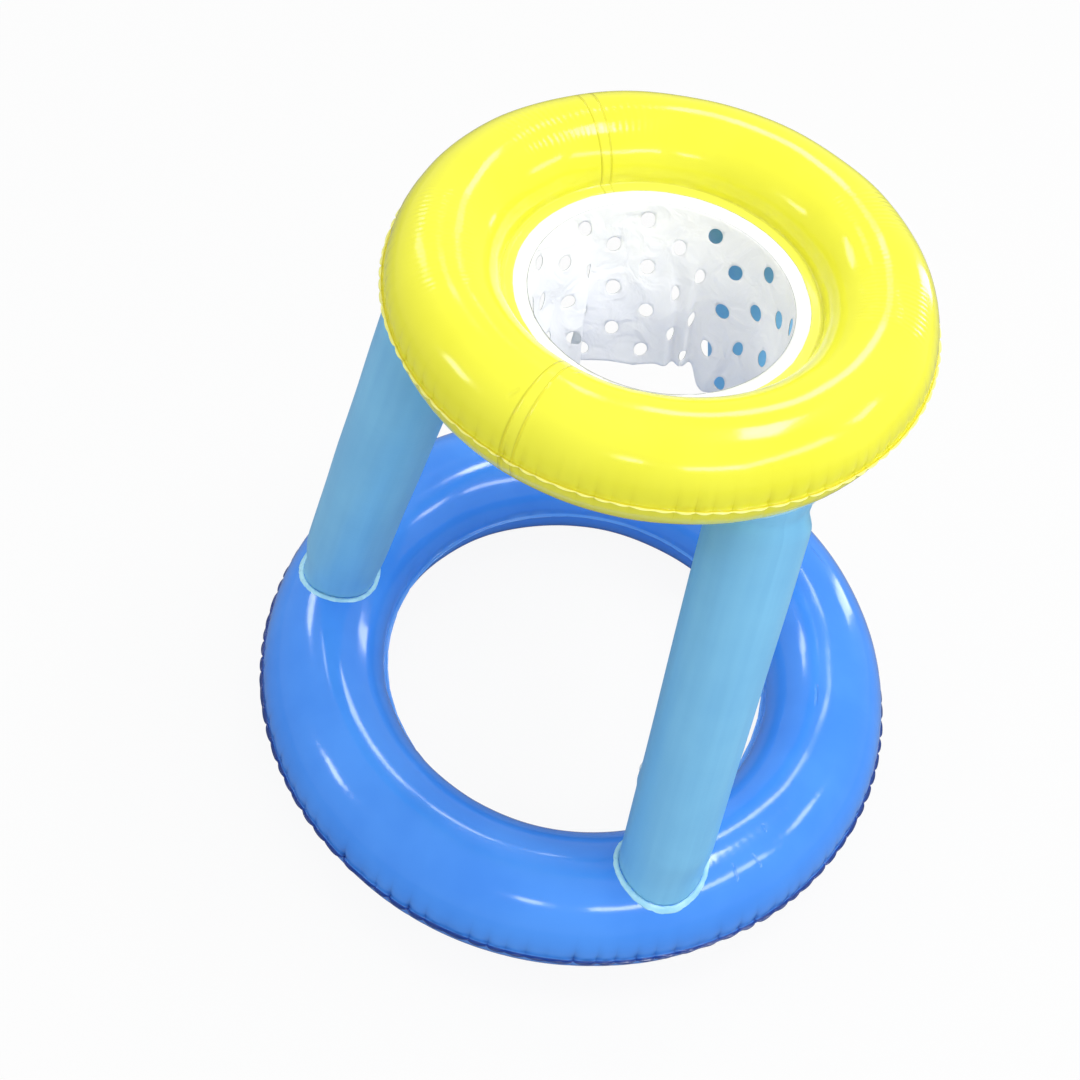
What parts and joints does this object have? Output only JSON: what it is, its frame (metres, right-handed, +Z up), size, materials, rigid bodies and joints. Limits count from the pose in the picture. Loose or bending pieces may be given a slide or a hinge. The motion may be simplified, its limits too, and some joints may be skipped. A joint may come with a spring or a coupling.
{
  "type": "floating basketball hoop",
  "caption": "Floating basketball hoop: inflatable base ring, inflatable columns, inflatable hoop ring and a punched vinyl net, with push-in valves.",
  "frame": {"origin": "centre of the base ring on the surface it rests on", "axes": "+Z up through the hoop; the left column stands on -X, the other two at -60 and +60 degrees from +X, and each head sits 11.9 degrees further round than its foot; the picture looks from 4 degrees right of -Y"},
  "size_m": [0.675, 0.675, 0.6659],
  "materials": {
    "base_vinyl": "glossy blue vinyl",
    "hoop_vinyl": "glossy yellow vinyl",
    "column_vinyl": "satin light blue vinyl",
    "net_vinyl": "limp white vinyl sheet",
    "valve_vinyl": "soft moulded vinyl"
  },
  "bodies": {
    "inflated_body": {"base_ring_upper_skin": "base_vinyl", "base_ring_lower_skin": "base_vinyl", "hoop_ring_upper_skin": "hoop_vinyl", "hoop_ring_lower_skin": "hoop_vinyl", "net_collar": "net_vinyl", "net": "net_vinyl", "column_sleeve_left": "column_vinyl", "foot_disc_left": "column_vinyl", "head_disc_left": "column_vinyl", "column_sleeve_front": "column_vinyl", "foot_disc_front": "column_vinyl", "head_disc_front": "column_vinyl", "column_sleeve_rear": "column_vinyl", "foot_disc_rear": "column_vinyl", "head_disc_rear": "column_vinyl", "base_valve_flange": "valve_vinyl", "hoop_valve_flange": "valve_vinyl", "left_valve_flange": "valve_vinyl", "front_valve_flange": "valve_vinyl", "rear_valve_flange": "valve_vinyl"},
    "base_stem": {"base_valve_stem": "valve_vinyl"},
    "base_plug": {"base_valve_plug": "valve_vinyl"},
    "hoop_stem": {"hoop_valve_stem": "valve_vinyl"},
    "hoop_plug": {"hoop_valve_plug": "valve_vinyl"},
    "left_stem": {"left_valve_stem": "valve_vinyl"},
    "left_plug": {"left_valve_plug": "valve_vinyl"},
    "front_stem": {"front_valve_stem": "valve_vinyl"},
    "front_plug": {"front_valve_plug": "valve_vinyl"},
    "rear_stem": {"rear_valve_stem": "valve_vinyl"},
    "rear_plug": {"rear_valve_plug": "valve_vinyl"}
  },
  "joints": [
    {"name": "base_valve_push", "type": "slide", "parent": "inflated_body", "child": "base_stem", "axis": [-0.1256, -0.6312, 0.7654], "range_m": [0, 0.0094]},
    {"name": "base_plug_hinge", "type": "hinge", "parent": "base_stem", "child": "base_plug", "pos_m": [0.04342, 0.21829, 0.109], "axis": [0.9808, -0.1951, 0], "range_deg": [0, 150]},
    {"name": "hoop_valve_push", "type": "slide", "parent": "inflated_body", "child": "hoop_stem", "axis": [0.6418, 0.0561, -0.7648], "range_m": [0, 0.0094]},
    {"name": "hoop_plug_hinge", "type": "hinge", "parent": "hoop_stem", "child": "hoop_plug", "pos_m": [0.21028, 0.0184, 0.58729], "axis": [0.0872, -0.9962, 0], "range_deg": [0, 150]},
    {"name": "left_valve_push", "type": "slide", "parent": "inflated_body", "child": "left_stem", "axis": [0.7855, 0.6071, -0.12], "range_m": [0, 0.0094]},
    {"name": "left_plug_hinge", "type": "hinge", "parent": "left_stem", "child": "left_plug", "pos_m": [-0.21109, 0.01331, 0.2309], "axis": [0.5834, -0.7912, -0.1837], "range_deg": [0, 150]},
    {"name": "front_valve_push", "type": "slide", "parent": "inflated_body", "child": "front_stem", "axis": [-0.9185, 0.3767, -0.12], "range_m": [0, 0.0094]},
    {"name": "front_plug_hinge", "type": "hinge", "parent": "front_stem", "child": "front_plug", "pos_m": [0.09402, -0.18947, 0.2309], "axis": [0.3935, 0.9008, -0.1837], "range_deg": [0, 150]},
    {"name": "rear_valve_push", "type": "slide", "parent": "inflated_body", "child": "rear_stem", "axis": [0.133, -0.9838, -0.12], "range_m": [0, 0.0094]},
    {"name": "rear_plug_hinge", "type": "hinge", "parent": "rear_stem", "child": "rear_plug", "pos_m": [0.11707, 0.17616, 0.2309], "axis": [-0.9769, -0.1096, -0.1837], "range_deg": [0, 150]}
  ]
}
